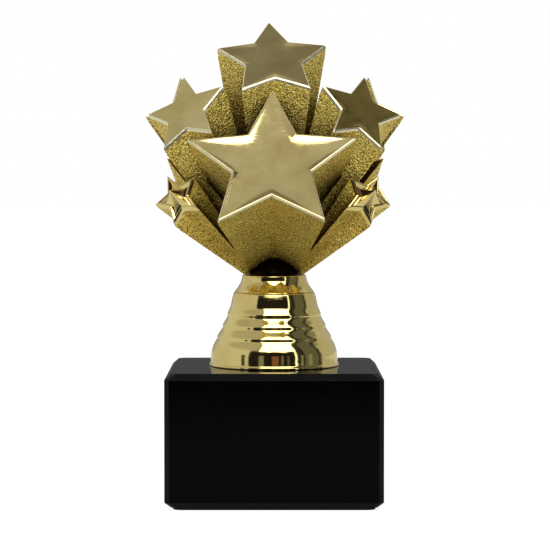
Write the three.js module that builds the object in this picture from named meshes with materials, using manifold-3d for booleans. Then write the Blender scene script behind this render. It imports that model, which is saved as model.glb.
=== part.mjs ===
// Star trophy: a gold five-pointed-star cluster on a wavy bell riser and a black marble block.
// Millimetres, +Z up, front towards -Y, origin on the table under the middle of the block.
import * as THREE from "three";
import { mergeVertices } from "three/addons/utils/BufferGeometryUtils.js";
import Module from "manifold-3d";

const wasm = await Module();
wasm.setup();

// ---------- driving dimensions ----------
// Marble block and the felt under it
const baseWidth = 65.4;
const baseHeight = 40.2;
const baseEdgeChamfer = 1.8;
const baseCornerChamfer = 1.1;
const feltThickness = 0.6;
const feltInset = 2.4;
const feltCornerRadius = 3;

// Hardware: one M6 bolt clamps block, riser and figure together
const boltDiameter = 6;
const boltHeadAcrossFlats = 10;
const boltHeadHeight = 4;
const boltHoleClearance = 0.5;
const boltTipBelowNut = 0.1;
const counterboreDepth = 11;
const counterboreClearance = 2;
const washerDiameter = 22;
const washerThickness = 1.6;
const springWasherDiameter = 11;
const springWasherThickness = 1.6;
const springWasherSlit = 1.2;
const nutAcrossFlats = 10;
const nutHeight = 5;

// Riser: thin bell with wavy ribs
const riserHeight = 22.7;
const riserFootRadius = 20.1;
const riserLipHeight = 0.9;
const riserShoulderRadius = 17.9;
const riserWaistRadius = 15.4;
const riserNeckRadius = 13.8;
const riserTopRadius = 12.7;
const riserWall = 1.8;
const riserTopPlate = 2.5;
const riserRibHeight = 0.6;
const riserRibMargin = 5.5;
const riserRibCount = 4;

// Figure foot: flared collar with a domed top
const collarHeight = 5.4;
const collarFlareRadius = 12.3;
const collarTopRadius = 9.9;
const domeRadius = 7.9;
const domeHeight = 5.4;

// Hub that the rays stand on, inside the cluster
const hubFootRadius = 4.4;
const hubTopRadius = 3.4;
const hubHeight = 35;
const hubSpigotRadius = 3;
const hubSpigotLength = 3;

// Star rays and their caps
const rayWall = 1.3;
const capThickness = 1.6;
const capBevel = 0.45;
const capPlugLength = 1.2;
const gemRim = 1.35;
const gemRise = 2.3;

// Clearance left between pieces that meet at an angle
const gap = 0.3;
// The figure is clamped slightly off square to the block
const figureTurn = -2;

// Segments round the turned pieces
const roundSegments = 40;

// ---------- star cluster layout ----------
// centre: middle of the star's face. root: point that the ray tapers towards. Both stand on the
// figure's axis frame, with height counted from the top of the collar.
// azimuth: face turned from the front towards +X. tilt: face leaned back. roll: turned in its plane.
const frontStar = {
  centre: [0.2, -26, 35.1],
  root: [0, 27, -13.6],
  azimuth: 0,
  tilt: 36.2,
  roll: 0.8,
  radius: 27.2,
  innerRatio: 0.465,
  rayStart: 0.3,
  hollowStart: 0.58,
};
const topStar = {
  centre: [-0.4, 0, 67],
  root: [-0.5, 0, -26.6],
  azimuth: 4,
  tilt: 47.7,
  roll: 2.6,
  radius: 18.1,
  innerRatio: 0.52,
  rayStart: 0.3,
  hollowStart: 0.72,
};
const upperStar = {
  centre: [26.8, -9.5, 50.4],
  root: [-4, 0, -12.6],
  azimuth: 30.5,
  tilt: 32,
  roll: -22.6,
  radius: 14.3,
  innerRatio: 0.476,
  rayStart: 0.1,
  hollowStart: 0.62,
};
const lowerStar = {
  centre: [29.1, -14.5, 24],
  root: [0, 1, -6.4],
  azimuth: 28.5,
  tilt: 8.8,
  roll: -32.4,
  radius: 8.5,
  innerRatio: 0.485,
  rayStart: 0.1,
  hollowStart: 0.66,
};
// The rear lower stars are larger, higher and closer in, given here as if they were in front
const rearLowerStar = {
  centre: [26.5, -14.5, 29],
  root: [0, 1, -6.4],
  azimuth: 30,
  tilt: 9.5,
  roll: 20,
  radius: 12.5,
  innerRatio: 0.5,
  rayStart: 0.1,
  hollowStart: 0.66,
};
// The rear upper stars sit a touch wider than the front ones
const rearUpperShift = [1.3, 0, 0];

// ---------- heights that follow from the sizes above ----------
const baseTop = feltThickness + baseHeight;
const riserTop = baseTop + riserHeight;
const collarTop = riserTop + collarHeight;
const domeTop = collarTop + domeHeight;
const counterboreTop = feltThickness + counterboreDepth;
const washerBottom = counterboreTop - washerThickness;
const springWasherBottom = washerBottom - springWasherThickness;
const boltHeadBottom = springWasherBottom - boltHeadHeight;
const boltTip = riserTop + nutHeight - boltTipBelowNut;

// ---------- sizes that follow from what fits together ----------
const boltHoleRadius = (boltDiameter + boltHoleClearance) / 2;
const counterboreRadius = washerDiameter / 2 + counterboreClearance;
const riserRibPitch = (riserHeight - 2 * riserRibMargin) / (riserRibCount - 1);

// ---------- materials ----------
function finish(color, roughness, metalness) {
  return new THREE.MeshStandardMaterial({ color, roughness, metalness });
}
const blackMarble = finish(0x0b0b0e, 0.12, 0);
const blackFelt = finish(0x1d1f1c, 0.95, 0);
const polishedGold = finish(0xb79a45, 0.16, 1);
const texturedGold = finish(0xa98428, 0.42, 1);
const zincSteel = finish(0xb4b6b8, 0.35, 1);

// ---------- helpers ----------
// A closed three.js geometry as a solid that can be joined and cut
function toSolid(geometry) {
  const bare = geometry.clone();
  bare.deleteAttribute("normal");
  bare.deleteAttribute("uv");
  const merged = mergeVertices(bare, 1e-4);
  return new wasm.Manifold(
    new wasm.Mesh({
      numProp: 3,
      vertProperties: new Float32Array(merged.attributes.position.array),
      triVerts: new Uint32Array(merged.index.array),
    }),
  );
}

// The biggest single body of a solid, as a flat-shaded geometry
function toGeometry(solid) {
  const bodies = solid.decompose();
  bodies.sort((a, b) => b.volume() - a.volume());
  const mesh = bodies[0].getMesh();
  const shared = new THREE.BufferGeometry();
  shared.setAttribute("position", new THREE.BufferAttribute(mesh.vertProperties, 3));
  shared.setIndex(new THREE.BufferAttribute(mesh.triVerts, 1));
  const geometry = shared.toNonIndexed();
  geometry.computeVertexNormals();
  return geometry;
}

// A turned piece: profile of [radius, height] points, running from the lower axis point outwards
function turned(profile, segments = roundSegments) {
  const points = profile.map(([r, z]) => new THREE.Vector2(r, z));
  return new THREE.LatheGeometry(points, segments).rotateX(Math.PI / 2);
}

// A plain cylinder standing on Z between two heights
function post(radius, bottom, top, segments = 32) {
  const cylinder = new THREE.CylinderGeometry(radius, radius, top - bottom, segments);
  return cylinder.rotateX(Math.PI / 2).translate(0, 0, (bottom + top) / 2);
}

// A hexagonal prism standing on Z, sized across its flats
function hexPrism(acrossFlats, bottom, top) {
  return post(acrossFlats / Math.sqrt(3), bottom, top, 6);
}

// A box between two corners
function boxBetween(low, high) {
  const size = high.map((value, i) => value - low[i]);
  const middle = high.map((value, i) => (value + low[i]) / 2);
  return new THREE.BoxGeometry(...size).translate(...middle);
}

function addPiece(group, name, geometry, material) {
  const mesh = new THREE.Mesh(geometry, material);
  mesh.name = name;
  group.add(mesh);
  return mesh;
}

// ---------- marble block ----------
// A square outline with its four corners cut off
function choppedSquare(width, corner) {
  const half = width / 2;
  const cut = half - corner;
  const shape = new THREE.Shape();
  shape.moveTo(cut, -half);
  shape.lineTo(half, -cut);
  shape.lineTo(half, cut);
  shape.lineTo(cut, half);
  shape.lineTo(-cut, half);
  shape.lineTo(-half, cut);
  shape.lineTo(-half, -cut);
  shape.lineTo(-cut, -half);
  shape.closePath();
  return shape;
}

function marbleBlock() {
  const outline = choppedSquare(baseWidth - 2 * baseEdgeChamfer, baseCornerChamfer);
  const block = new THREE.ExtrudeGeometry(outline, {
    depth: baseHeight - 2 * baseEdgeChamfer,
    bevelEnabled: true,
    bevelThickness: baseEdgeChamfer,
    bevelSize: baseEdgeChamfer,
    bevelSegments: 1,
    curveSegments: 1,
  });
  block.translate(0, 0, feltThickness + baseEdgeChamfer);
  const counterbore = post(counterboreRadius, feltThickness - 1, counterboreTop, roundSegments);
  const boltHole = post(boltHoleRadius, counterboreTop - 1, baseTop + 1);
  return toSolid(block).subtract(toSolid(counterbore)).subtract(toSolid(boltHole));
}

function feltPad() {
  const half = baseWidth / 2 - feltInset;
  const side = half - feltCornerRadius;
  const shape = new THREE.Shape();
  shape.absarc(side, side, feltCornerRadius, 0, Math.PI / 2);
  shape.absarc(-side, side, feltCornerRadius, Math.PI / 2, Math.PI);
  shape.absarc(-side, -side, feltCornerRadius, Math.PI, Math.PI * 1.5);
  shape.absarc(side, -side, feltCornerRadius, Math.PI * 1.5, Math.PI * 2);
  shape.closePath();
  return new THREE.ExtrudeGeometry(shape, {
    depth: feltThickness,
    bevelEnabled: false,
    curveSegments: 5,
  });
}

// ---------- hardware ----------
function baseBolt() {
  const head = toSolid(hexPrism(boltHeadAcrossFlats, boltHeadBottom, springWasherBottom));
  const shank = toSolid(
    turned([
      [0, boltHeadBottom + 1],
      [boltDiameter / 2, boltHeadBottom + 1],
      [boltDiameter / 2, boltTip - 0.8],
      [boltDiameter / 2 - 0.8, boltTip],
      [0, boltTip],
    ], 24),
  );
  return head.add(shank);
}

function flatWasher(diameter, bottom, thickness) {
  return turned([
    [boltHoleRadius, bottom],
    [diameter / 2, bottom],
    [diameter / 2, bottom + thickness],
    [boltHoleRadius, bottom + thickness],
    [boltHoleRadius, bottom],
  ], 32);
}

function springWasher() {
  const ring = flatWasher(springWasherDiameter, springWasherBottom, springWasherThickness);
  const slit = boxBetween(
    [0, -springWasherSlit / 2, springWasherBottom - 1],
    [springWasherDiameter, springWasherSlit / 2, washerBottom + 1],
  );
  return toSolid(ring).subtract(toSolid(slit));
}

function captiveNut() {
  const nut = toSolid(hexPrism(nutAcrossFlats, riserTop, riserTop + nutHeight));
  return nut.subtract(toSolid(post(boltHoleRadius, riserTop - 1, riserTop + nutHeight + 1)));
}

// ---------- riser ----------
// Smooth bell line through the named radii, foot to top
const riserLine = new THREE.SplineCurve([
  new THREE.Vector2(riserFootRadius - 0.1, riserLipHeight),
  new THREE.Vector2(riserFootRadius - 0.3, riserHeight * 0.18),
  new THREE.Vector2(riserShoulderRadius, riserHeight * 0.35),
  new THREE.Vector2(riserWaistRadius, riserHeight * 0.58),
  new THREE.Vector2(riserNeckRadius, riserHeight * 0.79),
  new THREE.Vector2(riserTopRadius, riserHeight),
]);

// Extra radius of the wavy ribs at a height above the riser's foot
function ribAt(height) {
  const turns = (height - riserRibMargin) / riserRibPitch;
  if (turns < -0.5 || turns > riserRibCount - 0.5) return 0;
  return (riserRibHeight / 2) * (1 + Math.cos(2 * Math.PI * turns));
}

function riserBell() {
  const steps = 26;
  const profile = [
    [riserFootRadius - riserWall, baseTop],
    [riserFootRadius, baseTop],
    [riserFootRadius, baseTop + riserLipHeight],
  ];
  for (let i = 0; i <= steps; i += 1) {
    const point = riserLine.getPoint(i / steps);
    profile.push([point.x + ribAt(point.y), baseTop + point.y]);
  }
  profile.push([boltHoleRadius, riserTop]);
  profile.push([boltHoleRadius, riserTop - riserTopPlate]);
  profile.push([riserNeckRadius - riserWall, riserTop - riserTopPlate]);
  profile.push([riserWaistRadius - riserWall, baseTop + riserHeight * 0.58]);
  profile.push([riserShoulderRadius - riserWall, baseTop + riserHeight * 0.35]);
  profile.push([riserFootRadius - riserWall, baseTop]);
  return turned(profile, 44);
}

// ---------- figure foot and hub ----------
// Outline of the foot, from its underside on the riser up over the dome; grow widens it all round
function footProfile(grow) {
  const profile = [
    [0, riserTop - grow],
    [collarFlareRadius + grow, riserTop - grow],
    [collarFlareRadius - 0.5 + grow, riserTop + 0.9],
    [collarTopRadius + 0.9 + grow, riserTop + 2.4],
    [collarTopRadius + 0.25 + grow, riserTop + 3.9],
    [collarTopRadius + grow, collarTop + grow],
    [domeRadius + grow, collarTop + grow],
  ];
  const domeSteps = 7;
  for (let i = 1; i <= domeSteps; i += 1) {
    const angle = (i / domeSteps) * (Math.PI / 2);
    const radius = (domeRadius + grow) * Math.cos(angle);
    profile.push([Math.max(radius, 0), collarTop + grow + domeHeight * Math.sin(angle)]);
  }
  return profile;
}

function figureFoot() {
  const nutPocket = hexPrism(nutAcrossFlats + 2 * gap, riserTop - 1, riserTop + nutHeight + gap);
  const tipRoom = post(boltHoleRadius, riserTop, boltTip + 1);
  const hubSocket = post(hubSpigotRadius + gap, domeTop - hubSpigotLength - gap, domeTop + 1);
  return toSolid(turned(footProfile(0)))
    .subtract(toSolid(nutPocket))
    .subtract(toSolid(tipRoom))
    .subtract(toSolid(hubSocket));
}

function hubProfile(grow) {
  const hubBottom = domeTop + gap;
  return [
    [0, hubBottom - hubSpigotLength],
    [hubSpigotRadius + grow, hubBottom - hubSpigotLength],
    [hubSpigotRadius + grow, hubBottom],
    [hubFootRadius + grow, hubBottom],
    [hubTopRadius + grow, hubBottom + hubHeight],
    [0, hubBottom + hubHeight + grow],
  ];
}

// ---------- star rays ----------
function starOutline(outer, inner) {
  const shape = new THREE.Shape();
  for (let i = 0; i < 10; i += 1) {
    const angle = Math.PI / 2 + (i * Math.PI) / 5;
    const radius = i % 2 ? inner : outer;
    const x = radius * Math.cos(angle);
    const y = radius * Math.sin(angle);
    if (i) shape.lineTo(x, y);
    else shape.moveTo(x, y);
  }
  shape.closePath();
  return shape;
}

// Works out a star's face axes, the depth of its root point and the distance to its edges
function placeStar(star) {
  const azimuth = THREE.MathUtils.degToRad(star.azimuth);
  const tilt = THREE.MathUtils.degToRad(star.tilt);
  const roll = THREE.MathUtils.degToRad(star.roll);
  const centre = new THREE.Vector3(...star.centre);
  const root = new THREE.Vector3(...star.root);
  const normal = new THREE.Vector3(
    Math.sin(azimuth) * Math.cos(tilt),
    -Math.cos(azimuth) * Math.cos(tilt),
    Math.sin(tilt),
  );
  const right = new THREE.Vector3(0, 0, 1).cross(normal).normalize().applyAxisAngle(normal, roll);
  const up = normal.clone().cross(right);
  const outer = star.radius;
  const inner = star.radius * star.innerRatio;
  const edge = Math.sqrt(outer ** 2 + inner ** 2 - 2 * outer * inner * Math.cos(Math.PI / 5));
  const edgeDistance = (outer * inner * Math.sin(Math.PI / 5)) / edge;
  const rootDepth = centre.clone().sub(root).dot(normal);
  return { ...star, centre, root, right, up, outer, inner, edgeDistance, rootDepth };
}

// A star-shaped body through rings, given from the deepest to the foremost.
// Each ring has a depth behind the face, a grow that moves its edges out, and a size factor.
function starLoft(star, rings) {
  const steps = rings.length - 1;
  const geometry = new THREE.ExtrudeGeometry(starOutline(star.outer, star.inner), {
    depth: steps,
    steps,
    bevelEnabled: false,
    curveSegments: 1,
  });
  const position = geometry.getAttribute("position");
  const axis = star.centre.clone().sub(star.root);
  for (let i = 0; i < position.count; i += 1) {
    const ring = rings[Math.round(position.getZ(i))];
    const along = (star.rootDepth - ring.depth) / star.rootDepth;
    const size = along * (ring.size ?? 1) + (ring.grow ?? 0) / star.edgeDistance;
    const point = star.root.clone().addScaledVector(axis, along);
    point.addScaledVector(star.right, position.getX(i) * size);
    point.addScaledVector(star.up, position.getY(i) * size);
    position.setXYZ(i, point.x, point.y, point.z);
  }
  return geometry;
}

// Depth behind the face at a given share of the way from the root point
function depthAt(star, share) {
  return star.rootDepth * (1 - share);
}

function raySolid(star) {
  const top = capThickness + gap;
  const body = starLoft(star, [{ depth: depthAt(star, star.rayStart) }, { depth: top }]);
  const hollow = starLoft(star, [
    { depth: depthAt(star, star.hollowStart), grow: -rayWall },
    { depth: top - 1, grow: -rayWall },
  ]);
  return toSolid(body).subtract(toSolid(hollow));
}

// The room that a ray and its cap keep clear of their neighbours
function rayRoom(star) {
  return toSolid(
    starLoft(star, [
      { depth: depthAt(star, star.rayStart) + 1, grow: gap },
      { depth: -1, grow: gap },
    ]),
  );
}

// Flat polished cap: a plug that drops into the hollow ray, a plate and a small bevel
function flatCap(star) {
  const plug = -rayWall - gap;
  return starLoft(star, [
    { depth: capThickness + gap + capPlugLength, grow: plug },
    { depth: capThickness, grow: plug },
    { depth: capThickness, grow: 0 },
    { depth: capBevel, grow: 0 },
    { depth: 0, grow: -capBevel },
  ]);
}

// Faceted cap: a flat rim round a raised five-ridged star
function gemCap(star) {
  const plug = -rayWall - gap;
  return starLoft(star, [
    { depth: capThickness + gap + capPlugLength, grow: plug },
    { depth: capThickness, grow: plug },
    { depth: capThickness, grow: 0 },
    { depth: capBevel, grow: 0 },
    { depth: 0, grow: -capBevel },
    { depth: 0, grow: -gemRim },
    { depth: -gemRise, size: 0.03 },
  ]);
}

// The same star on the other side of the figure
function mirrored(star) {
  const [x, y, z] = star.centre;
  const [rootX, rootY, rootZ] = star.root;
  return {
    ...star,
    centre: [-x, y, z],
    root: [-rootX, rootY, rootZ],
    azimuth: -star.azimuth,
    roll: -star.roll,
  };
}

// The same star on the back of the figure, moved outwards, back and up by a shift
function atBack(star, shift = [0, 0, 0]) {
  const [x, y, z] = star.centre;
  const side = Math.sign(x);
  return {
    ...star,
    centre: [x + side * shift[0], -y + shift[1], z + shift[2]],
    root: [star.root[0], -star.root[1], star.root[2]],
    azimuth: 180 - star.azimuth,
    roll: -star.roll,
  };
}

// Name, star, cap style and side of the figure, in the order in which rays keep their full shape
const stars = [
  ["front", frontStar, flatCap, -1],
  ["back", atBack(frontStar), flatCap, 1],
  ["upper_left", mirrored(upperStar), flatCap, -1],
  ["upper_right", upperStar, flatCap, -1],
  ["back_upper_left", atBack(mirrored(upperStar), rearUpperShift), flatCap, 1],
  ["back_upper_right", atBack(upperStar, rearUpperShift), flatCap, 1],
  ["lower_left", mirrored(lowerStar), gemCap, -1],
  ["lower_right", lowerStar, gemCap, -1],
  ["back_lower_left", atBack(mirrored(rearLowerStar)), gemCap, 1],
  ["back_lower_right", atBack(rearLowerStar), gemCap, 1],
  ["top", topStar, flatCap, 0],
];

// ---------- assembly ----------
const trophy = new THREE.Group();
trophy.name = "star_trophy";

addPiece(trophy, "felt_pad", feltPad(), blackFelt);
addPiece(trophy, "marble_base", toGeometry(marbleBlock()), blackMarble);
addPiece(trophy, "base_bolt", toGeometry(baseBolt()), zincSteel);
addPiece(trophy, "spring_washer", toGeometry(springWasher()), zincSteel);
addPiece(
  trophy,
  "base_washer",
  flatWasher(washerDiameter, washerBottom, washerThickness),
  zincSteel,
);
addPiece(trophy, "riser_bell", riserBell(), polishedGold);
addPiece(trophy, "captive_nut", toGeometry(captiveNut()), zincSteel);
addPiece(trophy, "figure_foot", toGeometry(figureFoot()), polishedGold);

const cluster = new THREE.Group();
cluster.position.z = collarTop;
cluster.rotation.z = THREE.MathUtils.degToRad(figureTurn);
trophy.add(cluster);
addPiece(cluster, "hub_core", turned(hubProfile(0), 24).translate(0, 0, -collarTop), texturedGold);

// What the rays keep clear of: everything below the collar's top, the dome and the hub
const reach = 3 * baseWidth;
let taken = toSolid(boxBetween([-reach, -reach, -reach], [reach, reach, gap]))
  .add(toSolid(turned(footProfile(gap)).translate(0, 0, -collarTop)))
  .add(toSolid(turned(hubProfile(gap), 24).translate(0, 0, -collarTop)));

// The half of space behind a front ray (side -1) or in front of a back ray (side 1), from a plane
// that stands a margin outside the ray's own half
function otherHalf(side, margin) {
  const low = side > 0 ? -reach : margin;
  const high = side > 0 ? -margin : reach;
  return toSolid(boxBetween([-reach, low, -reach], [reach, high, reach]));
}

for (const [name, star, cap, side] of stars) {
  const placed = placeStar(star);
  let ray = raySolid(placed).subtract(taken);
  let face = toSolid(cap(placed)).subtract(taken);
  let room = rayRoom(placed);
  if (side) {
    ray = ray.subtract(otherHalf(side, -gap / 2));
    face = face.subtract(otherHalf(side, -gap / 2));
    room = room.subtract(otherHalf(side, gap / 2));
  }
  addPiece(cluster, "ray_" + name, toGeometry(ray), texturedGold);
  addPiece(cluster, "star_" + name, toGeometry(face), polishedGold);
  taken = taken.add(room);
}

export default trophy;
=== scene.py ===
"""Star trophy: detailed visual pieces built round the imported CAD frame."""

import math

import bmesh
import bpy
import numpy as np
from mathutils import Matrix, Vector


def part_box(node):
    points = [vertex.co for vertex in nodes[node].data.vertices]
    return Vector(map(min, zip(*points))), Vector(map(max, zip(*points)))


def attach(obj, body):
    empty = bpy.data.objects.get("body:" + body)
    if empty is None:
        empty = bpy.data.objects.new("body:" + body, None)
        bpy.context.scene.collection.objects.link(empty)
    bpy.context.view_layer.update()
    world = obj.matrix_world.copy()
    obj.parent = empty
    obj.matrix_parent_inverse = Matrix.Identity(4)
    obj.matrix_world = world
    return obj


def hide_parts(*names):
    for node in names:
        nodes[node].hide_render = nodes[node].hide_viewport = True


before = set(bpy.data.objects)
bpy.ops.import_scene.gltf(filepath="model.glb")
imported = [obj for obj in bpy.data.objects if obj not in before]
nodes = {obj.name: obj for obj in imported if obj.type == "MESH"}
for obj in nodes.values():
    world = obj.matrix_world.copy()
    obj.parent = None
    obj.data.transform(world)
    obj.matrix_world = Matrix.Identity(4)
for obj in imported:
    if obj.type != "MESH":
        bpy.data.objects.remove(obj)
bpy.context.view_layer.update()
scene = bpy.context.scene
MM = 0.001

# ---------------------------------------------------------------- shared sizes, millimetres
CAP_THICKNESS = 1.6
SKIRT_DEPTH = 2.3
SKIRT_PROUD = 0.03
SKIRT_INSET = 0.5
FLAT_TIP_ROUND = 0.55
FLAT_VALLEY_ROUND = 0.4
FLAT_EDGE_POINTS = 7
RIM_RADIUS = 0.6
RIM_SHOULDER = 0.12
RIM_STEPS = 5
FACE_LEAD = 0.15
SAG_WIDTH = 2.8
SAG_RINGS = 20
SAG_RING_SPREAD = 1.25
LARGE_STAR_SLOPE = 0.3
SMALL_STAR_SLOPE = 0.13
GEM_TIP_ROUND = 0.35
GEM_VALLEY_ROUND = 0.25
GEM_EDGE_POINTS = 3
GEM_SWEEP_STEPS = 9
GEM_RIM = 1.35
GEM_RISE = 2.4
GEM_SWEEP = 1.5
GEM_MOAT = 0.6
FIGURE_TURN = -2.0
COLLAR_HEIGHT = 5.4
DOME_RADIUS = 7.9
DOME_HEIGHT = 5.4

# centre: middle of the star's face. root: point that the ray tapers towards. Heights count from the
# top of the collar. azimuth, tilt and roll are degrees, and ratio is the inner radius to the outer.
front_star = dict(
    centre=(0.2, -26, 35.1),
    root=(0, 27, -13.6),
    azimuth=0,
    tilt=36.2,
    roll=0.8,
    radius=27.2,
    ratio=0.465,
)
top_star = dict(
    centre=(-0.4, 0, 67),
    root=(-0.5, 0, -26.6),
    azimuth=4,
    tilt=47.7,
    roll=2.6,
    radius=18.1,
    ratio=0.52,
)
upper_star = dict(
    centre=(26.8, -9.5, 50.4),
    root=(-4, 0, -12.6),
    azimuth=30.5,
    tilt=32,
    roll=-22.6,
    radius=14.3,
    ratio=0.476,
)
lower_star = dict(
    centre=(29.1, -14.5, 24),
    root=(0, 1, -6.4),
    azimuth=28.5,
    tilt=8.8,
    roll=-32.4,
    radius=8.5,
    ratio=0.485,
)
rear_lower_star = dict(
    centre=(26.5, -14.5, 29),
    root=(0, 1, -6.4),
    azimuth=30,
    tilt=9.5,
    roll=20,
    radius=12.5,
    ratio=0.5,
)
# The rear upper stars sit a touch wider than the front ones
REAR_UPPER_SHIFT = (1.3, 0, 0)


def mirrored(star):
    """The same star on the other side, left for right."""
    x, y, z = star["centre"]
    rx, ry, rz = star["root"]
    return {
        **star,
        "centre": (-x, y, z),
        "root": (-rx, ry, rz),
        "azimuth": -star["azimuth"],
        "roll": -star["roll"],
    }


def at_back(star, shift=(0, 0, 0)):
    """The same star behind, front for back, moved outward and up by shift."""
    x, y, z = star["centre"]
    side = (x > 0) - (x < 0)
    rx, ry, rz = star["root"]
    return {
        **star,
        "centre": (x + side * shift[0], -y + shift[1], z + shift[2]),
        "root": (rx, -ry, rz),
        "azimuth": 180 - star["azimuth"],
        "roll": -star["roll"],
    }


FLAT_STARS = {
    "front": front_star,
    "back": at_back(front_star),
    "top": top_star,
    "upper_left": mirrored(upper_star),
    "upper_right": upper_star,
    "back_upper_left": at_back(mirrored(upper_star), REAR_UPPER_SHIFT),
    "back_upper_right": at_back(upper_star, REAR_UPPER_SHIFT),
}
GEM_STARS = {
    "lower_left": mirrored(lower_star),
    "lower_right": lower_star,
    "back_lower_left": at_back(mirrored(rear_lower_star)),
    "back_lower_right": at_back(rear_lower_star),
}


# ---------------------------------------------------------------- node material helpers
class Shader:
    """A small helper round one node tree."""

    def __init__(self, name):
        self.material = bpy.data.materials.new(name)
        self.material.use_nodes = True
        self.tree = self.material.node_tree
        self.tree.nodes.clear()
        self.out = self.node("ShaderNodeOutputMaterial")
        self.bsdf = self.node("ShaderNodeBsdfPrincipled")
        self.link(self.bsdf.outputs[0], self.out.inputs["Surface"])
        self.place = self.node("ShaderNodeTexCoord").outputs["Object"]

    def node(self, kind, **settings):
        made = self.tree.nodes.new(kind)
        for key, value in settings.items():
            setattr(made, key, value)
        return made

    def link(self, a, b):
        self.tree.links.new(a, b)

    def noise(self, scale, detail=3.0, rough=0.5, stretch=None, distortion=0.0):
        place = self.place
        if stretch:
            mapping = self.node("ShaderNodeMapping")
            mapping.inputs["Scale"].default_value = stretch
            self.link(place, mapping.inputs["Vector"])
            place = mapping.outputs[0]
        made = self.node("ShaderNodeTexNoise")
        made.inputs["Scale"].default_value = scale
        made.inputs["Detail"].default_value = detail
        made.inputs["Roughness"].default_value = rough
        made.inputs["Distortion"].default_value = distortion
        self.link(place, made.inputs["Vector"])
        return made.outputs["Fac"]

    def remap(self, value, low, high, to_low, to_high):
        made = self.node("ShaderNodeMapRange")
        made.inputs["From Min"].default_value = low
        made.inputs["From Max"].default_value = high
        made.inputs["To Min"].default_value = to_low
        made.inputs["To Max"].default_value = to_high
        self.link(value, made.inputs["Value"])
        return made.outputs["Result"]

    def mix(self, factor, a, b):
        made = self.node("ShaderNodeMix", data_type="RGBA")
        for socket, value in ((made.inputs[0], factor), (made.inputs[6], a), (made.inputs[7], b)):
            if hasattr(value, "is_linked"):
                self.link(value, socket)
            elif isinstance(value, (int, float)):
                socket.default_value = value
            else:
                socket.default_value = (*value, 1)
        return made.outputs[2]

    def math(self, kind, a, b=None):
        made = self.node("ShaderNodeMath", operation=kind)
        for socket, value in zip(made.inputs, (a, b)):
            if value is None:
                continue
            if hasattr(value, "is_linked"):
                self.link(value, socket)
            else:
                socket.default_value = value
        return made.outputs[0]

    def bump(self, height, strength, distance, after=None):
        made = self.node("ShaderNodeBump")
        made.inputs["Strength"].default_value = strength
        made.inputs["Distance"].default_value = distance
        self.link(height, made.inputs["Height"])
        if after is not None:
            self.link(after, made.inputs["Normal"])
        return made.outputs[0]

    def finish(self, color=None, roughness=None, normal=None, **fixed):
        if color is not None:
            if hasattr(color, "is_linked"):
                self.link(color, self.bsdf.inputs["Base Color"])
            else:
                self.bsdf.inputs["Base Color"].default_value = (*color, 1)
        if roughness is not None:
            if hasattr(roughness, "is_linked"):
                self.link(roughness, self.bsdf.inputs["Roughness"])
            else:
                self.bsdf.inputs["Roughness"].default_value = roughness
        if normal is not None:
            self.link(normal, self.bsdf.inputs["Normal"])
        for key, value in fixed.items():
            self.bsdf.inputs[key.replace("_", " ")].default_value = value
        return self.material


# ---------------------------------------------------------------- materials
# Distance in metres within which a neighbouring wall darkens the textured gold with painted shade
PAINTED_SHADE_REACH = 0.019


def polished_gold(name, color, roughness=0.1, haze=0.1, dust=0.0, wave=0.3, cloud=0.4):
    """Mirror gold plate with faint orange peel, cloudy tarnish, wiping marks and a little dust."""
    s = Shader(name)
    cloudy = s.noise(90, 4, 0.55)
    wipes = s.noise(260, 5, 0.6, stretch=(1.0, 1.0, 0.12), distortion=0.6)
    scratches = s.noise(1500, 2, 0.5, stretch=(0.05, 1.0, 1.0))
    tint = s.mix(
        s.remap(cloudy, 0.38, 0.62, 0, cloud),
        color,
        tuple(c * f for c, f in zip(color, (0.76, 0.72, 0.62))),
    )
    specks = s.remap(s.noise(1300, 2, 0.7), 0.70 - 0.1 * dust, 0.78, 0, 1)
    if dust:
        tint = s.mix(s.math("MULTIPLY", specks, dust), tint, (0.86, 0.85, 0.78))
    rough = s.math(
        "ADD",
        s.remap(wipes, 0.4, 0.7, roughness, roughness + haze),
        s.math("MULTIPLY", specks, 0.25 * dust),
    )
    peel = s.bump(s.noise(420, 2, 0.5), wave, 0.00006)
    fine = s.bump(s.remap(scratches, 0.58, 0.66, 0, 1), 0.12, 0.00003, after=peel)
    return s.finish(tint, rough, fine, Metallic=1.0)


def textured_gold(name, color, deep, painted_shade):
    """Sand-textured gold plate: bright grains over a darker ground, painted shade in the recesses."""
    s = Shader(name)
    grain = s.noise(1700, 2, 0.6)
    fine = s.noise(4200, 2, 0.5)
    patches = s.noise(75, 3, 0.5)
    tint = s.mix(s.remap(grain, 0.37, 0.45, 0, 1), deep, color)
    tint = s.mix(s.remap(patches, 0.42, 0.68, 0, 0.3), tint, deep)
    # Painted shade: ambient occlusion pulls the gold towards a near-black colour in recesses and beside
    # neighbouring walls
    occlusion_shade = s.node("ShaderNodeAmbientOcclusion", samples=8)
    occlusion_shade.inputs["Distance"].default_value = PAINTED_SHADE_REACH
    tint = s.mix(s.remap(occlusion_shade.outputs["AO"], 0.2, 0.62, 1.0, 0.0), tint, painted_shade)
    rough = s.remap(grain, 0.4, 0.6, 0.4, 0.2)
    height = s.math("ADD", grain, s.math("MULTIPLY", fine, 0.3))
    return s.finish(tint, rough, s.bump(height, 1.0, 0.0007), Metallic=1.0)


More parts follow.
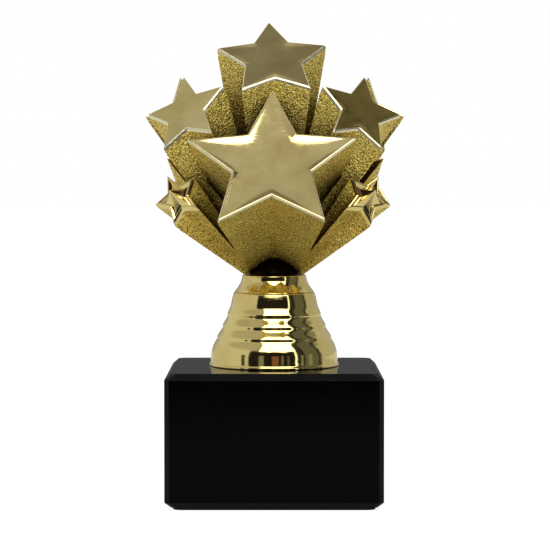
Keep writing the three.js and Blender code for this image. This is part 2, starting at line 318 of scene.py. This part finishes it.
def marble_material(name, base, roughness, grind):
    """Black polished marble with very faint veins; grind adds the matt scoring of a ground edge."""
    s = Shader(name)
    clouds = s.noise(38, 6, 0.62, distortion=1.4)
    veins = s.remap(s.noise(22, 8, 0.7, distortion=2.2), 0.49, 0.51, 0, 1)
    vein_line = s.math("MULTIPLY", veins, s.math("SUBTRACT", 1.0, veins))
    tint = s.mix(s.remap(clouds, 0.3, 0.75, 0, 1), base, tuple(c * 1.9 for c in base))
    tint = s.mix(s.math("MULTIPLY", vein_line, 0.2), tint, (0.02, 0.02, 0.024))
    pits = s.noise(1100, 2, 0.5)
    rough = s.remap(pits, 0.35, 0.7, roughness, roughness * 1.5 + grind)
    score = s.noise(900, 2, 0.5, stretch=(0.06, 0.06, 1.0))
    peel = s.bump(s.noise(130, 2, 0.5), 0.25, 0.00003)
    normal = s.bump(score, 0.1 + grind, 0.00004, after=peel)
    return s.finish(tint, rough, normal, IOR=1.5, Specular_IOR_Level=0.06)


def felt_material():
    s = Shader("felt_black")
    fibres = s.noise(3800, 4, 0.7, distortion=2.0)
    tint = s.mix(s.remap(fibres, 0.3, 0.7, 0, 1), (0.008, 0.009, 0.008), (0.035, 0.037, 0.034))
    return s.finish(tint, 0.95, s.bump(fibres, 0.9, 0.0003), Sheen_Weight=0.4)


def zinc_material():
    s = Shader("zinc_plate")
    spangle = s.noise(500, 3, 0.6)
    tint = s.mix(s.remap(spangle, 0.3, 0.7, 0, 1), (0.5, 0.52, 0.56), (0.7, 0.71, 0.7))
    rough = s.remap(s.noise(900, 3, 0.5), 0.3, 0.7, 0.22, 0.42)
    return s.finish(tint, rough, s.bump(s.noise(1400, 2, 0.5), 0.2, 0.00004), Metallic=1.0)


star_gold = polished_gold("star_face_gold", (0.99, 0.82, 0.37), 0.09, 0.08, dust=0.15, cloud=0.75)
dusty_gold = polished_gold("star_face_gold_dusty", (0.86, 0.67, 0.2), 0.12, 0.12, dust=0.6)
gem_gold = polished_gold("gem_gold", (0.94, 0.77, 0.32), 0.06, 0.06)
riser_gold = polished_gold("riser_gold", (0.93, 0.76, 0.29), 0.05, 0.05, wave=0.2)
foot_gold = polished_gold("foot_gold", (0.92, 0.74, 0.28), 0.06, 0.06, wave=0.2)
edge_gold = polished_gold("ridge_gold", (1.0, 0.93, 0.64), 0.3, 0.1, cloud=0.0)
# Near-black gold for the dome under the front ray: painted shade of its dark hollow, not the metal's own
# colour
dome_painted_shade = polished_gold("dome_painted_shade", (0.012, 0.008, 0.003), 0.3, 0.1)
# The last colour is the painted shade laid into the rays' recesses and grooves
ray_gold = textured_gold("ray_gold", (1.0, 0.81, 0.21), (0.4, 0.2, 0.01), (0.03, 0.012, 0.002))
marble = marble_material("black_marble", (0.0005, 0.0006, 0.0008), 0.07, 0.0)
ground_edge = marble_material("black_marble_ground", (0.006, 0.006, 0.007), 0.22, 0.15)
felt = felt_material()
zinc = zinc_material()


# ---------------------------------------------------------------- mesh helpers
def new_object(name, bm, materials, smooth=True, auto_angle=35):
    mesh = bpy.data.meshes.new(name)
    bmesh.ops.recalc_face_normals(bm, faces=bm.faces)
    if smooth:
        limit = math.radians(auto_angle)
        for face in bm.faces:
            face.smooth = True
        for edge in bm.edges:
            if len(edge.link_faces) == 2 and edge.calc_face_angle(0) > limit:
                edge.smooth = False
    bm.to_mesh(mesh)
    bm.free()
    for material in materials:
        mesh.materials.append(material)
    made = bpy.data.objects.new(name, mesh)
    scene.collection.objects.link(made)
    return made


def settle(obj, slot, *cad_nodes):
    """Puts a new piece in the frame: it rides the body and stands for its CAD nodes. The slot argument is
    not used.
    """
    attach(obj, "root")
    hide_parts(*cad_nodes)
    return obj


def repaint(node_name, *materials):
    """Gives a kept CAD node its materials."""
    mesh = nodes[node_name].data
    mesh.materials.clear()
    for material in materials:
        mesh.materials.append(material)
    for polygon in mesh.polygons:
        polygon.material_index = 0
    return nodes[node_name]


def soften(obj, width, segments=2, angle=30, material=-1):
    """Rounds the sharp edges of a kept CAD node."""
    bevel = obj.modifiers.new("soft_edges", "BEVEL")
    bevel.width = width * MM
    bevel.segments = segments
    bevel.limit_method = "ANGLE"
    bevel.angle_limit = math.radians(angle)
    bevel.material = material
    bevel.use_clamp_overlap = True
    bevel.harden_normals = False
    return bevel


def lathe(name, profile, segments, material, smooth_angle=35):
    """Turns a closed profile of (radius, height) points in millimetres about Z."""
    bm = bmesh.new()
    rings = []
    for i in range(segments):
        angle = 2 * math.pi * i / segments
        c, s = math.cos(angle), math.sin(angle)
        rings.append([bm.verts.new((r * c * MM, r * s * MM, z * MM)) for r, z in profile])
    count = len(profile)
    for i in range(segments):
        a, b = rings[i], rings[(i + 1) % segments]
        for j in range(count):
            k = (j + 1) % count
            bm.faces.new((a[j], b[j], b[k], a[k]))
    return new_object(name, bm, [material], auto_angle=smooth_angle)


# ---------------------------------------------------------------- star geometry
# Places of a cap's materials in its list
FACE_SLOT = 0
SKIRT_SLOT = 1
RIM_SLOT = 2


def place_star(star):
    """Face axes, depth of the root point and distance to the edges, as in the CAD model."""
    azimuth, tilt, roll = (math.radians(star[k]) for k in ("azimuth", "tilt", "roll"))
    normal = Vector(
        (math.sin(azimuth) * math.cos(tilt), -math.cos(azimuth) * math.cos(tilt), math.sin(tilt))
    )
    right = Vector((0, 0, 1)).cross(normal).normalized()
    right = Matrix.Rotation(roll, 3, normal) @ right
    up = normal.cross(right)
    outer = star["radius"]
    inner = outer * star["ratio"]
    edge = math.sqrt(outer**2 + inner**2 - 2 * outer * inner * math.cos(math.pi / 5))
    centre, root = Vector(star["centre"]), Vector(star["root"])
    return {
        "centre": centre,
        "root": root,
        "right": right,
        "up": up,
        "normal": normal,
        "outer": outer,
        "inner": inner,
        "reach": outer * inner * math.sin(math.pi / 5) / edge,
        "depth": (centre - root).dot(normal),
    }


foot_low, foot_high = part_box("figure_foot")
FOOT_BOTTOM = foot_low.z / MM
FOOT_RADIUS = foot_high.x / MM
FIGURE = Matrix.Translation((0, 0, (FOOT_BOTTOM + COLLAR_HEIGHT) * MM)) @ Matrix.Rotation(
    math.radians(FIGURE_TURN), 4, "Z"
)


def star_outline(outer, inner, tip_round, valley_round, per_edge):
    """Star outline with rounded tips and valleys, as points in its plane."""
    corners = []
    for i in range(10):
        angle = math.pi / 2 + i * math.pi / 5
        radius = inner if i % 2 else outer
        corners.append(np.array((radius * math.cos(angle), radius * math.sin(angle))))
    points = []
    for i, corner in enumerate(corners):
        before, after = corners[i - 1], corners[(i + 1) % 10]
        cut = valley_round if i % 2 else tip_round
        entry = corner + (before - corner) / np.linalg.norm(before - corner) * cut
        leave = corner + (after - corner) / np.linalg.norm(after - corner) * cut
        for t in (0.0, 0.25, 0.5, 0.75, 1.0):
            points.append((1 - t) ** 2 * entry + 2 * t * (1 - t) * corner + t**2 * leave)
        next_cut = tip_round if i % 2 else valley_round
        end = after + (corner - after) / np.linalg.norm(corner - after) * next_cut
        for k in range(1, per_edge):
            points.append(leave + (end - leave) * k / per_edge)
    return np.array(points)


def dish_heights(outline, factors, rim_slope):
    """Shape of a face that has sunk between held edges, on rings scaled by factors.

    Returns one height per ring point and one for the middle. The face falls away from its edge at
    rim_slope and levels out over about SAG_WIDTH millimetres, like a sheet on a springy bed.
    """
    count = len(outline)
    rings = len(factors)
    flat = np.concatenate([outline * f for f in factors] + [np.zeros((1, 2))])
    total = len(flat)
    triangles = []
    for r in range(rings - 1):
        for i in range(count):
            a, b = r * count + i, r * count + (i + 1) % count
            c, d = a + count, b + count
            triangles += [(a, b, d), (a, d, c)]
    last = (rings - 1) * count
    triangles += [(last + i, last + (i + 1) % count, total - 1) for i in range(count)]
    stiffness = np.zeros((total, total))
    load = np.zeros(total)
    for tri in triangles:
        p = flat[list(tri)]
        area = 0.5 * abs(np.cross(p[1] - p[0], p[2] - p[0]))
        if area < 1e-12:
            continue
        for i in range(3):
            j, k = (i + 1) % 3, (i + 2) % 3
            u, v = p[j] - p[i], p[k] - p[i]
            cot = float(u @ v) / (2 * area)
            a, b = tri[j], tri[k]
            stiffness[a, a] += cot / 2
            stiffness[b, b] += cot / 2
            stiffness[a, b] -= cot / 2
            stiffness[b, a] -= cot / 2
            load[tri[i]] += area / 3
    free = np.arange(count, total)
    springy = stiffness * SAG_WIDTH**2 + np.diag(load)
    sag = np.zeros(total)
    sag[free] = np.linalg.solve(springy[np.ix_(free, free)], load[free])
    return -rim_slope * SAG_WIDTH * sag


def cap_point(star, xy, size, depth):
    """A point of a cap in the row frame: in-plane place, size factor and depth behind the face."""
    along = (star["depth"] - depth) / star["depth"]
    point = star["root"] + (star["centre"] - star["root"]) * along
    point = point + star["right"] * (xy[0] * size) + star["up"] * (xy[1] * size)
    return FIGURE @ (point * MM)


def ring_bridge(bm, lower, upper, material=0):
    """Joins two rings of the same number of points by a band of faces."""
    count = len(lower)
    for i in range(count):
        j = (i + 1) % count
        face = bm.faces.new((lower[i], lower[j], upper[j], upper[i]))
        face.material_index = material


def flat_cap(name, star_data, material, rim_slope, rim):
    """A polished star face: rounded rim, then a face that sinks gently between its edges."""
    star = place_star(star_data)
    outline = star_outline(
        star["outer"], star["inner"], FLAT_TIP_ROUND, FLAT_VALLEY_ROUND, FLAT_EDGE_POINTS
    )
    count = len(outline)
    reach = star["reach"]
    bm = bmesh.new()

    def ring(depth, inset):
        along = 1 - depth / star["depth"]
        return [bm.verts.new(cap_point(star, p, along - inset / reach, depth)) for p in outline]

    levels = [
        (CAP_THICKNESS, SKIRT_INSET),
        (SKIRT_DEPTH, SKIRT_INSET),
        (SKIRT_DEPTH, -SKIRT_PROUD),
        (CAP_THICKNESS * 0.5, -SKIRT_PROUD),
        (rim + RIM_SHOULDER, 0.0),
    ]
    skirt_bands = len(levels) - 1
    for step in range(RIM_STEPS + 1):
        angle = step / RIM_STEPS * math.pi / 2
        levels.append((rim * (1 - math.sin(angle)), rim * (1 - math.cos(angle))))
    rim_bands = len(levels) - 2
    levels.append((0.0, rim + FACE_LEAD))
    rings = [ring(depth, inset) for depth, inset in levels]
    back = bm.verts.new(cap_point(star, (0, 0), 1, CAP_THICKNESS))
    for i in range(count):
        bm.faces.new((back, rings[0][(i + 1) % count], rings[0][i]))
    for k, (low, high) in enumerate(zip(rings, rings[1:])):
        band = SKIRT_SLOT if k < skirt_bands else RIM_SLOT if k < rim_bands else FACE_SLOT
        ring_bridge(bm, low, high, material=band)

    edge_size = 1 - (rim + FACE_LEAD) / reach
    factors = [edge_size * (1 - (k / SAG_RINGS) ** SAG_RING_SPREAD) for k in range(SAG_RINGS)]
    heights = dish_heights(outline, factors, rim_slope)
    previous = rings[-1]
    for k in range(1, len(factors)):
        current = []
        for i, p in enumerate(outline):
            height = heights[k * count + i]
            current.append(bm.verts.new(cap_point(star, p, factors[k], -height)))
        ring_bridge(bm, previous, current)
        previous = current
    middle = bm.verts.new(cap_point(star, (0, 0), 1, -heights[-1]))
    for i in range(count):
        bm.faces.new((previous[i], previous[(i + 1) % count], middle))
    cap = new_object("visual_star_" + name, bm, [material, ray_gold, edge_gold], auto_angle=50)
    return settle(cap, "star_gold", "star_" + name)


def gem_cap(name, star_data):
    """A small raised star: bright rim, a shallow moat and five ridges that sweep up to a peak."""
    star = place_star(star_data)
    outline = star_outline(
        star["outer"], star["inner"], GEM_TIP_ROUND, GEM_VALLEY_ROUND, GEM_EDGE_POINTS
    )
    reach = star["reach"]
    bm = bmesh.new()

    def ring(depth, inset):
        along = 1 - max(depth, 0) / star["depth"]
        return [bm.verts.new(cap_point(star, p, along - inset / reach, depth)) for p in outline]

    levels = [
        (CAP_THICKNESS, SKIRT_INSET),
        (SKIRT_DEPTH, SKIRT_INSET),
        (SKIRT_DEPTH, -SKIRT_PROUD),
        (0.75, -SKIRT_PROUD),
        (0.6, 0),
        (0.34, 0.1),
        (0.12, 0.3),
        (0.02, 0.55),
        (0.05, 0.75),
        (GEM_MOAT - 0.1, 1.05),
        (GEM_MOAT, GEM_RIM),
    ]
    for k in range(1, GEM_SWEEP_STEPS):
        share = k / GEM_SWEEP_STEPS
        rise = (GEM_MOAT + GEM_RISE) * share**GEM_SWEEP
        levels.append((GEM_MOAT - rise, GEM_RIM + share * (reach - GEM_RIM)))
    rings = [ring(depth, inset) for depth, inset in levels]
    count = len(outline)
    back = bm.verts.new(cap_point(star, (0, 0), 1, CAP_THICKNESS))
    peak = bm.verts.new(cap_point(star, (0, 0), 1, -GEM_RISE))
    for i in range(count):
        bm.faces.new((back, rings[0][(i + 1) % count], rings[0][i]))
        bm.faces.new((peak, rings[-1][i], rings[-1][(i + 1) % count]))
    for k, (low, high) in enumerate(zip(rings, rings[1:])):
        ring_bridge(bm, low, high, material=SKIRT_SLOT if k < 3 else FACE_SLOT)
    cap = new_object("visual_star_" + name, bm, [gem_gold, ray_gold], auto_angle=24)
    return settle(cap, "gem_gold", "star_" + name)


for star_name, data in FLAT_STARS.items():
    dusty = star_name in ("upper_right", "back_upper_left")
    slope = LARGE_STAR_SLOPE if star_name in ("front", "back") else SMALL_STAR_SLOPE
    flat_cap(star_name, data, dusty_gold if dusty else star_gold, rim_slope=slope, rim=RIM_RADIUS)
for star_name, data in GEM_STARS.items():
    gem_cap(star_name, data)

# ---------------------------------------------------------------- rays and hub
for star_name in (*FLAT_STARS, *GEM_STARS):
    ray = repaint("ray_" + star_name, ray_gold, edge_gold)
    soften(ray, 0.42, segments=2, angle=25, material=1)
soften(repaint("hub_core", ray_gold, edge_gold), 0.2)

# ---------------------------------------------------------------- riser
riser_low, riser_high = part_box("riser_bell")
RISER_BOTTOM = riser_low.z / MM
RISER_HEIGHT = (riser_high.z - riser_low.z) / MM
RISER_WALL = 1.6
RISER_TOP_PLATE = 2.5
RISER_HOLE_RADIUS = 3.4
# Height above the riser's foot and outer radius there
RISER_STATIONS = (
    (0.9, 19.8),
    (2.5, 19.6),
    (4.3, 19.45),
    (5.4, 19.2),
    (6.6, 18.75),
    (8.4, 17.75),
    (10.2, 16.85),
    (12.0, 15.95),
    (13.8, 15.15),
    (15.6, 14.4),
    (17.4, 13.8),
    (19.2, 13.4),
    (21.0, 13.0),
    (RISER_HEIGHT, 12.5),
)
RIB_HEIGHT = 0.3
RIB_TOP_DROP = 4.0
RIB_COUNT = 3
RIB_PITCH = 3.5
RIB_UPPER_SHARE = 0.68


def spline(stations, x):
    """Smooth curve through the stations (Catmull-Rom on uneven steps)."""
    xs = [p[0] for p in stations]
    ys = [p[1] for p in stations]
    slopes = []
    for i in range(len(xs)):
        a, b = max(i - 1, 0), min(i + 1, len(xs) - 1)
        slopes.append((ys[b] - ys[a]) / (xs[b] - xs[a]))
    i = max(0, min(len(xs) - 2, sum(x > v for v in xs) - 1))
    span = xs[i + 1] - xs[i]
    t = min(max((x - xs[i]) / span, 0), 1)
    a = 2 * t**3 - 3 * t**2 + 1
    b = t**3 - 2 * t**2 + t
    c = -2 * t**3 + 3 * t**2
    d = t**3 - t**2
    return a * ys[i] + b * span * slopes[i] + c * ys[i + 1] + d * span * slopes[i + 1]


def smooth_step(t):
    """Rises from 0 to 1 with level ends."""
    return t * t * (3 - 2 * t)


def rib_at(height):
    """Extra radius of the ribs: each swells slowly going down and then pulls in quickly."""
    turns = (RISER_HEIGHT - RIB_TOP_DROP - height) / RIB_PITCH
    if turns < 0 or turns > RIB_COUNT:
        return 0.0
    t = turns % 1
    if t < RIB_UPPER_SHARE:
        return RIB_HEIGHT * smooth_step(t / RIB_UPPER_SHARE)
    return RIB_HEIGHT * smooth_step((1 - t) / (1 - RIB_UPPER_SHARE))


def riser():
    """Thin-walled bell: rolled foot lip, ribbed flank, top plate with the bolt's hole, inner wall."""
    profile = [
        (18.3, 0.0),
        (19.9, 0.0),
        (20.05, 0.08),
        (20.1, 0.25),
        (20.1, 0.6),
        (20.02, 0.8),
        (19.86, 0.95),
    ]
    flank_steps = 120
    flank_low = 1.2
    flank_high = RISER_HEIGHT - 0.25
    for i in range(flank_steps + 1):
        height = flank_low + (flank_high - flank_low) * i / flank_steps
        profile.append((spline(RISER_STATIONS, height) + rib_at(height), height))
    top = spline(RISER_STATIONS, RISER_HEIGHT)
    plate_bottom = RISER_HEIGHT - RISER_TOP_PLATE
    profile += [
        (top - 0.06, RISER_HEIGHT - 0.08),
        (top - 0.3, RISER_HEIGHT),
        (RISER_HOLE_RADIUS, RISER_HEIGHT),
        (RISER_HOLE_RADIUS, plate_bottom),
        (top - RISER_WALL - 0.4, plate_bottom),
    ]
    for height in (18.5, 14, 10, 6, 3):
        profile.append((spline(RISER_STATIONS, height) - RISER_WALL, height))
    bell = lathe("visual_riser", [(r, z + RISER_BOTTOM) for r, z in profile], 160, riser_gold, 40)
    return settle(bell, "riser_gold", "riser_bell")


riser()

# ---------------------------------------------------------------- figure foot
FOOT_SOCKET_RADIUS = 3.3
DOME_STEPS = 17
CORE_RADIUS = 0.4
CORE_BOTTOM = 2.0


def figure_foot():
    """Flared collar with a dome on it whose near-black colour is painted shade, turned round a narrow
    core.
    """
    collar = COLLAR_HEIGHT
    flare_low = 0.35
    flare_high = collar - 0.2
    flare_steps = 23
    stations = (
        (flare_low, FOOT_RADIUS - 0.05),
        (0.9, 11.75),
        (1.6, 11.25),
        (2.6, 10.65),
        (3.9, 10.15),
        (flare_high, 9.9),
    )
    profile = [
        (FOOT_SOCKET_RADIUS, 0.0),
        (FOOT_RADIUS - 0.35, 0.0),
        (FOOT_RADIUS - 0.08, 0.1),
        (FOOT_RADIUS, 0.22),
    ]
    for i in range(flare_steps + 1):
        height = flare_low + (flare_high - flare_low) * i / flare_steps
        profile.append((spline(stations, height), height))
    profile += [
        (9.78, collar - 0.04),
        (9.6, collar),
        (DOME_RADIUS + 0.1, collar),
        (DOME_RADIUS, collar + 0.05),
    ]
    for i in range(1, DOME_STEPS):
        angle = i / DOME_STEPS * math.pi / 2
        profile.append((DOME_RADIUS * math.cos(angle), collar + DOME_HEIGHT * math.sin(angle)))
    profile.append((CORE_RADIUS, collar + DOME_HEIGHT))
    profile.append((CORE_RADIUS, CORE_BOTTOM))
    foot = lathe("visual_figure_foot", [(r, z + FOOT_BOTTOM) for r, z in profile], 128, foot_gold, 40)
    # The dome's faces take the near-black painted shade; the collar keeps the foot gold.
    foot.data.materials.append(dome_painted_shade)
    for face in foot.data.polygons:
        dome = math.hypot(face.center.x, face.center.y) < (DOME_RADIUS + 0.05) * MM
        face.material_index = 1 if dome and face.center.z > (FOOT_BOTTOM + collar) * MM else 0
    return settle(foot, "foot_gold", "figure_foot")


figure_foot()

# ---------------------------------------------------------------- marble block
base_low, base_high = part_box("marble_base")
SOLE_CHAMFER = 1.75
LID_CHAMFER = 1.8
CORNER_CUT = 1.15
ARRIS_RADIUS = 0.14
# Faces larger than this, in square millimetres, stay flat so that they mirror evenly
FLAT_FACE_AREA = 20


def marble_block():
    """Block with hand-ground chamfers of slightly uneven width, and tiny rounded arrises."""
    half = (base_high.x - base_low.x) / 2 / MM
    bottom, top = base_low.z / MM, base_high.z / MM
    rng = np.random.default_rng(11)
    bm = bmesh.new()
    layers = ((bottom, 1), (bottom + SOLE_CHAMFER, 0), (top - LID_CHAMFER, 0), (top, 1))
    rings = []
    for height, inset in layers:
        ring = []
        for corner in range(4):
            angle = corner * math.pi / 2
            turn = Matrix.Rotation(angle, 3, "Z")
            edge = half - LID_CHAMFER * inset - (0.06 + 0.1 * rng.random()) * inset
            cut = CORNER_CUT + 0.35 * rng.random() + 0.5 * inset
            for x, y in ((edge, -edge + cut), (edge, edge - cut)):
                ring.append(bm.verts.new(turn @ Vector((x * MM, y * MM, height * MM))))
        rings.append(ring)
    for low, high in zip(rings, rings[1:]):
        for i in range(8):
            j = (i + 1) % 8
            face = bm.faces.new((low[i], low[j], high[j], high[i]))
            ground = low is not rings[1] or i % 2 == 1
            face.material_index = 1 if ground else 0
    bm.faces.new(rings[-1])
    sole = bm.faces.new(list(reversed(rings[0])))
    sole.material_index = 1
    bmesh.ops.bevel(
        bm,
        geom=list(bm.edges),
        offset=ARRIS_RADIUS * MM,
        segments=3,
        profile=0.5,
        affect="EDGES",
        material=1,
        clamp_overlap=True,
    )
    block = new_object("visual_marble_base", bm, [marble, ground_edge], auto_angle=50)
    for polygon in block.data.polygons:
        polygon.use_smooth = polygon.area < FLAT_FACE_AREA * MM**2
    return settle(block, "marble", "marble_base")


marble_block()

# ---------------------------------------------------------------- felt and fixings
soften(repaint("felt_pad", felt), 0.15)
for part in ("base_bolt", "base_washer", "spring_washer", "captive_nut"):
    soften(repaint(part, zinc), 0.15)


# ---------------------------------------------------------------- studio
DEGREES_PER_RADIAN = 57.29578
SKY_GREY = (0.22, 0.22, 0.215)


def studio_world():
    """Soft studio seen as a map of directions: azimuth from the front, elevation above the horizon."""
    world = bpy.data.worlds.new("studio")
    scene.world = world
    world.use_nodes = True
    tree = world.node_tree
    tree.nodes.clear()

    def node(kind, **settings):
        made = tree.nodes.new(kind)
        for key, value in settings.items():
            setattr(made, key, value)
        return made

    def math_node(kind, *values):
        made = node("ShaderNodeMath", operation=kind)
        for socket, value in zip(made.inputs, values):
            if hasattr(value, "is_linked"):
                tree.links.new(value, socket)
            else:
                socket.default_value = value
        return made.outputs[0]

    direction = node("ShaderNodeTexCoord").outputs["Generated"]
    split = node("ShaderNodeSeparateXYZ")
    tree.links.new(direction, split.inputs[0])
    x, y, z = split.outputs
    turned = math_node("ARCTAN2", x, math_node("MULTIPLY", y, -1.0))
    azimuth = math_node("MULTIPLY", turned, DEGREES_PER_RADIAN)
    elevation = math_node("MULTIPLY", math_node("ARCSINE", z), DEGREES_PER_RADIAN)

    def step(value, edge, soft, rising=True):
        made = node("ShaderNodeMapRange", interpolation_type="SMOOTHSTEP")
        made.inputs["From Min"].default_value = edge - soft
        made.inputs["From Max"].default_value = edge + soft
        made.inputs["To Min"].default_value = 0 if rising else 1
        made.inputs["To Max"].default_value = 1 if rising else 0
        tree.links.new(value, made.inputs["Value"])
        return made.outputs[0]

    def panel(az_low, az_high, el_low, el_high, soft=1.5):
        sides = math_node("MULTIPLY", step(azimuth, az_low, soft), step(azimuth, az_high, soft, False))
        ends = math_node("MULTIPLY", step(elevation, el_low, soft), step(elevation, el_high, soft, False))
        return math_node("MULTIPLY", sides, ends)

    def over(below, mask, color):
        made = node("ShaderNodeMix", data_type="RGBA")
        tree.links.new(mask, made.inputs[0])
        if hasattr(below, "is_linked"):
            tree.links.new(below, made.inputs[6])
        else:
            made.inputs[6].default_value = (*below, 1)
        made.inputs[7].default_value = (*color, 1)
        return made.outputs[2]

    sky = SKY_GREY
    for area, color in STUDIO:
        sky = over(sky, panel(*area), color)
    light_path = node("ShaderNodeLightPath")
    seen = node("ShaderNodeMix", data_type="RGBA")
    tree.links.new(light_path.outputs["Is Camera Ray"], seen.inputs[0])
    tree.links.new(sky, seen.inputs[6])
    seen.inputs[7].default_value = (1, 1, 1, 1)
    background = node("ShaderNodeBackground")
    tree.links.new(seen.outputs[2], background.inputs["Color"])
    output = node("ShaderNodeOutputWorld")
    tree.links.new(background.outputs[0], output.inputs["Surface"])


def grey(value):
    return (value, value, value)


# Panels later in the list cover those before them:
# (azimuth from, to, elevation from, to, softness), colour
STUDIO = (
    ((-90, 90, 62, 95, 3), grey(0.42)),
    ((90, 200, 68, 95, 3), grey(0.20)),
    ((-200, -90, 68, 95, 3), grey(0.20)),
    ((-150, -34, 34, 66, 6), grey(0.42)),
    ((-150, -46, -30, 34, 6), grey(0.58)),
    ((43, 60, -8, 70, 3), grey(0.03)),
    ((60, 88, -8, 70, 3), grey(0.12)),
    ((88, 97, -8, 70, 3), grey(0.04)),
    ((97, 200, -30, 34, 4), grey(0.45)),
    ((-200, -150, -30, 34, 6), grey(0.45)),
    ((-200, -165, -30, 14, 6), grey(0.12)),
    ((165, 200, -30, 14, 6), grey(0.12)),
    ((120, 200, 34, 68, 8), grey(0.75)),
    ((-200, -120, 34, 68, 8), grey(0.75)),
    ((-48, 44, -30, 30, 2), grey(0.015)),
    ((-62, -55, -4, 14, 1.5), grey(0.05)),
    ((-28, -19, -2, 13, 1.5), grey(0.22)),
    ((-4, 8, -2, 12, 1.5), (0.2, 0.1, 0.065)),
    ((13, 17, -2, 13, 1), grey(0.16)),
    ((24, 28, -2, 13, 1), grey(0.10)),
    ((39, 43, -2, 34, 0.8), grey(1.6)),
    ((50, 55, -4, 13, 1), grey(0.22)),
    ((66, 74, -6, 14, 2), grey(0.25)),
    ((-30, 43, 31, 60, 2.0), grey(3.6)),
)
studio_world()


def studio_floor():
    """Pale floor. The camera sees it white; the gold sees it pale near by and dark in front."""
    bm = bmesh.new()
    bmesh.ops.create_grid(bm, x_segments=24, y_segments=24, size=6.0)
    floor = new_object("studio_floor", bm, [], smooth=False)
    s = Shader("pale_floor")
    distance = s.node("ShaderNodeVectorMath", operation="LENGTH")
    s.link(s.place, distance.inputs[0])
    far = s.remap(distance.outputs["Value"], 0.35, 0.9, 0, 1)
    axes = s.node("ShaderNodeSeparateXYZ")
    s.link(s.place, axes.inputs[0])
    front = s.remap(axes.outputs["Y"], -0.2, -0.5, 0, 1)
    seen_by_gold = s.mix(far, (0.95, 0.94, 0.92), (0.85, 0.84, 0.82))
    seen_by_gold = s.mix(front, seen_by_gold, (0.02, 0.02, 0.02))
    camera_only = s.node("ShaderNodeLightPath").outputs["Is Camera Ray"]
    color = s.mix(camera_only, seen_by_gold, (0.3, 0.3, 0.3))
    glow = s.math("MULTIPLY", camera_only, 0.9)
    s.link(glow, s.bsdf.inputs["Emission Strength"])
    s.bsdf.inputs["Emission Color"].default_value = (1, 1, 1, 1)
    floor.data.materials.append(s.finish(color, 1.0, Specular_IOR_Level=0.0))


studio_floor()

# ---------------------------------------------------------------- camera
CAMERA_PLACE = (0.00025, -0.735, 0.1013)
CAMERA_LOOKS_DOWN = 2.53
CAMERA_LENS = 155.6


def studio_camera():
    """Long lens in front of the award, looking slightly down."""
    data = bpy.data.cameras.new("camera")
    camera = bpy.data.objects.new("camera", data)
    scene.collection.objects.link(camera)
    data.sensor_width = 36
    data.lens = CAMERA_LENS
    data.clip_start = 0.05
    data.clip_end = 30
    camera.location = CAMERA_PLACE
    camera.rotation_euler = (math.radians(90 - CAMERA_LOOKS_DOWN), 0, 0)
    scene.camera = camera


studio_camera()

scene.view_settings.view_transform = "Standard"
scene.view_settings.look = "None"
scene.view_settings.exposure = 0.0
scene.view_settings.gamma = 1.0
